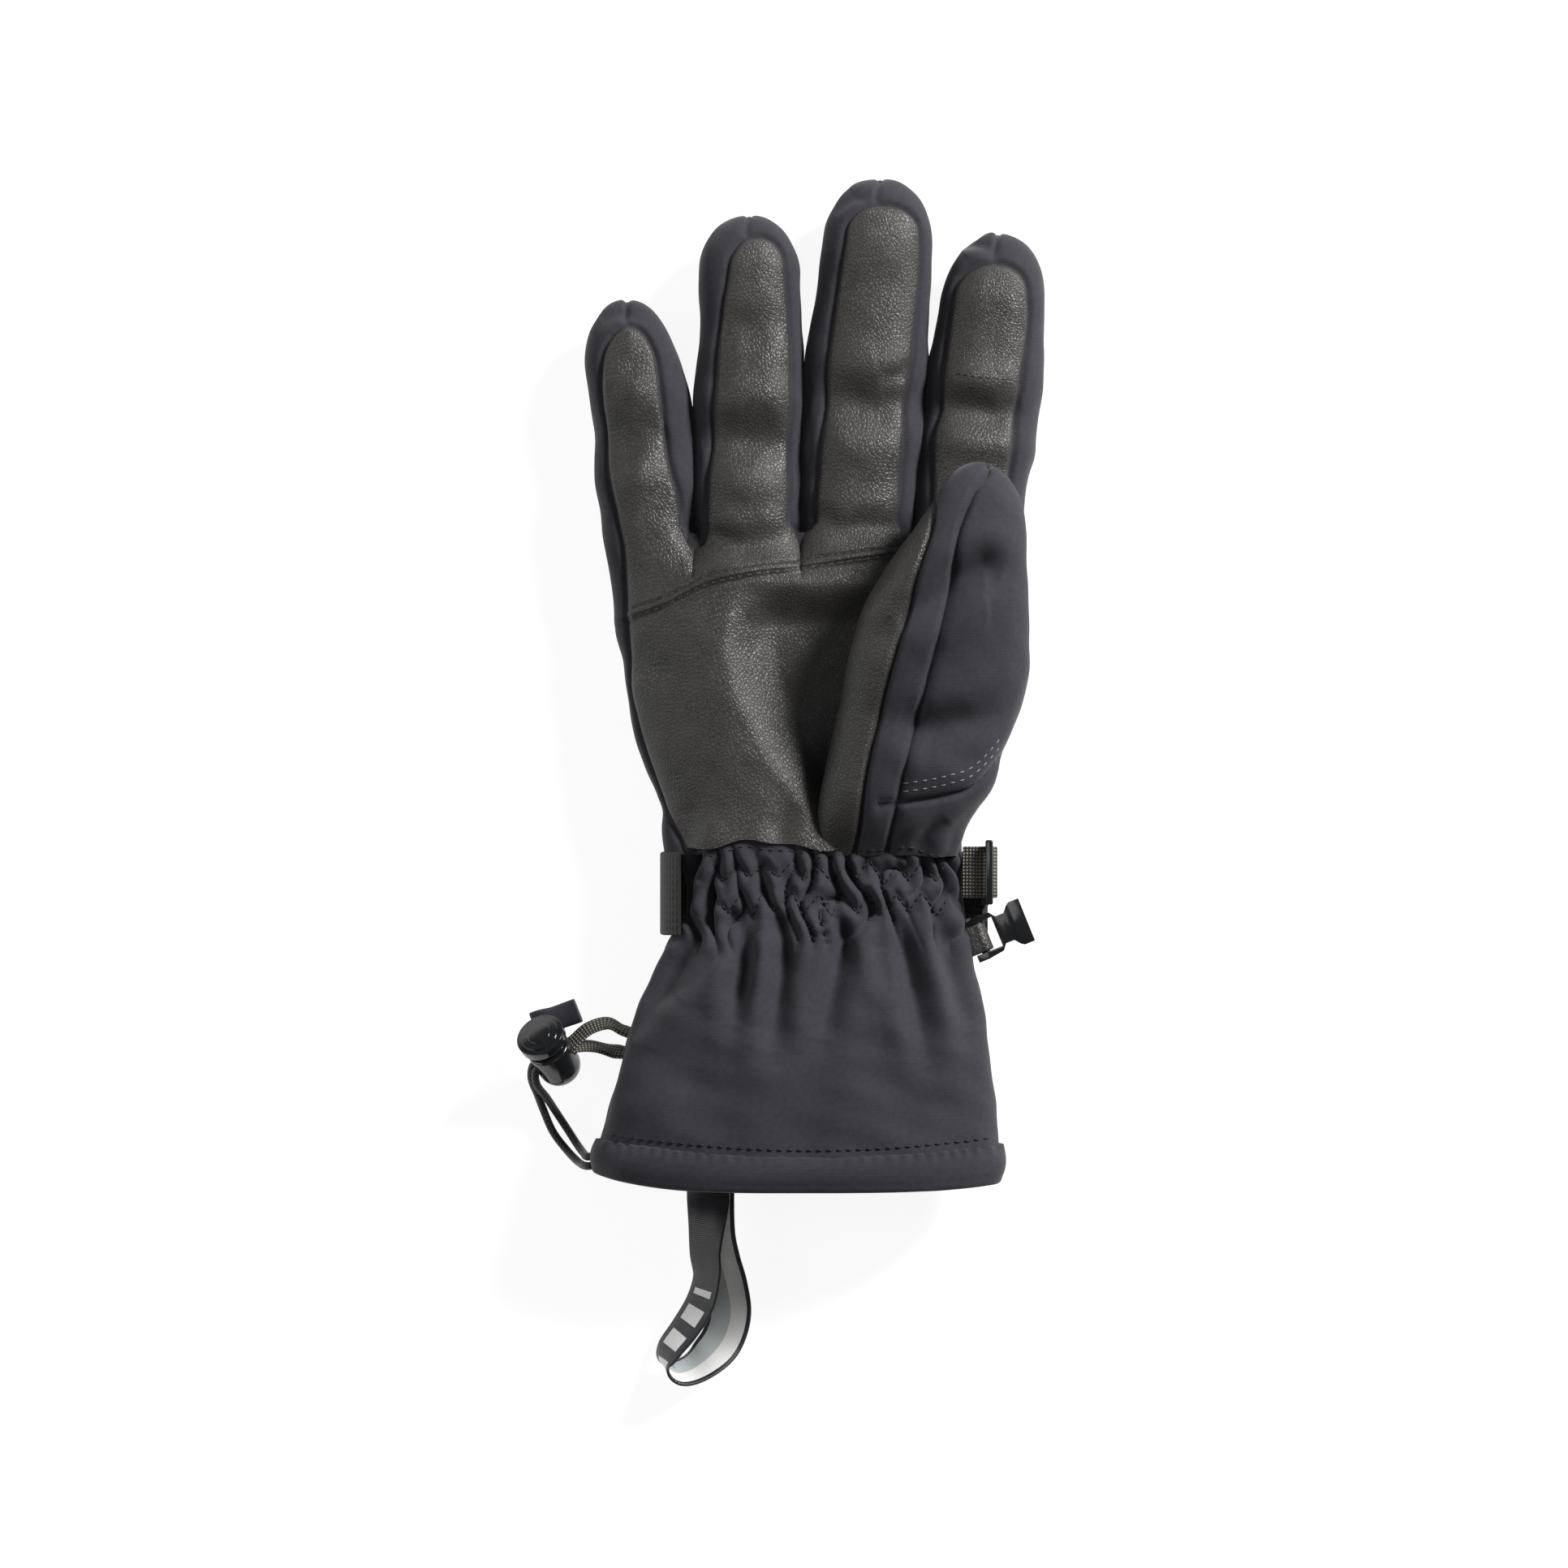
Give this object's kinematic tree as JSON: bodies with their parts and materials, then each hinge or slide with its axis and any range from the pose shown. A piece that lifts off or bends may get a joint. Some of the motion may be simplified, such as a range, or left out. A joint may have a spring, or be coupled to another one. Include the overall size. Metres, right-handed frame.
{
  "type": "ski glove",
  "caption": "Insulated right-hand ski glove with leather palm, gathered wrist, long gauntlet cuff, drawcord with cord lock, clip buckle and leash loop.",
  "frame": {"origin": "under the middle of the glove's outline with its cord and cord lock left out, on the surface it lies on", "axes": "+Y from the cuff to the fingertips, +X towards the thumb, +Z out of the palm"},
  "size_m": [0.1559, 0.3575, 0.0542],
  "materials": {
    "leather": "pebbled synthetic leather, satin",
    "softshell": "woven softshell, matt",
    "webbing": "woven nylon webbing",
    "wadding": "fibre wadding",
    "fleece": "brushed fleece",
    "plastic": "moulded acetal, gloss",
    "steel": "spring steel",
    "ribbon": "satin ribbon with a printed block pattern",
    "cord": "braided elastic cord"
  },
  "bodies": {
    "glove": {"palm_lower_panel": "leather", "palm_upper_panel": "leather", "back_panel": "softshell", "blade_side_gusset": "softshell", "index_side_gusset": "softshell", "little_ring_fourchette": "softshell", "ring_middle_fourchette": "softshell", "middle_index_fourchette": "softshell", "hand_insulation": "wadding", "hand_lining": "fleece", "thumb_base_leather": "leather", "thumb_base_strip": "softshell", "thumb_base_back": "softshell", "thumb_base_lining": "fleece", "wrist_shell": "softshell", "wrist_elastic": "webbing", "cuff_front": "softshell", "cuff_back": "softshell", "cuff_lining": "fleece", "cuff_hem": "softshell", "hem_drawcord": "cord", "wrist_strap": "webbing", "strap_tab": "webbing", "slider_anchor": "webbing", "clip_loop": "leather", "leash_ribbon": "ribbon", "tether_loop": "webbing", "cord_lock_barrel": "plastic", "cord_lock_spring": "steel", "drawcord_outer": "cord", "drawcord_inner": "cord", "pull_tab": "softshell"},
    "plunger": {"cord_lock_plunger": "plastic"},
    "slider": {"strap_slider": "plastic"},
    "clip": {"clip_buckle": "plastic"},
    "thumb tip": {"thumb_leather": "leather", "thumb_strip": "softshell", "thumb_back": "softshell", "thumb_lining": "fleece"},
    "little finger": {"little_leather": "leather", "little_back": "softshell", "little_fourchette": "softshell", "little_lining": "fleece"},
    "ring finger": {"ring_leather": "leather", "ring_back": "softshell", "ring_fourchette": "softshell", "ring_lining": "fleece"},
    "middle finger": {"middle_leather": "leather", "middle_back": "softshell", "middle_fourchette": "softshell", "middle_lining": "fleece"},
    "index finger": {"index_leather": "leather", "index_back": "softshell", "index_fourchette": "softshell", "index_lining": "fleece", "index_touch_tip": "leather"}
  },
  "joints": [
    {"name": "little knuckle", "type": "hinge", "parent": "glove", "child": "little finger", "pos_m": [-0.0509, 0.0959, 0.019], "axis": [0.9949, 0.1011, 0], "range_deg": [0, 55], "stiffness_Nm_per_rad": 0.05},
    {"name": "ring knuckle", "type": "hinge", "parent": "glove", "child": "ring finger", "pos_m": [-0.01955, 0.1009, 0.019], "axis": [1, 0, 0], "range_deg": [0, 55], "stiffness_Nm_per_rad": 0.05},
    {"name": "middle knuckle", "type": "hinge", "parent": "glove", "child": "middle finger", "pos_m": [0.0141, 0.1069, 0.019], "axis": [0.998, -0.0628, 0], "range_deg": [0, 55], "stiffness_Nm_per_rad": 0.05},
    {"name": "index knuckle", "type": "hinge", "parent": "glove", "child": "index finger", "pos_m": [0.0485, 0.1019, 0.019], "axis": [0.9957, -0.0924, 0], "range_deg": [0, 55], "stiffness_Nm_per_rad": 0.05},
    {"name": "thumb knuckle", "type": "hinge", "parent": "glove", "child": "thumb tip", "pos_m": [0.0448, 0.0579, 0.04], "axis": [0, 0, 1], "range_deg": [0, 28], "stiffness_Nm_per_rad": 0.05},
    {"name": "cord lock button", "type": "slide", "parent": "glove", "child": "plunger", "axis": [0.3578, -0.5955, -0.7193], "range_m": [0, 0.003], "stiffness_N_per_m": 500, "springref_m": -0.002},
    {"name": "slider tilt", "type": "hinge", "parent": "glove", "child": "slider", "pos_m": [0.051, -0.0263, 0.0245], "axis": [0, 1, 0], "range_deg": [-30, 0]},
    {"name": "clip swing", "type": "hinge", "parent": "glove", "child": "clip", "pos_m": [0.0486, -0.0457, 0.021], "axis": [-0.3746, 0.9272, 0], "range_deg": [-30, 20]}
  ]
}
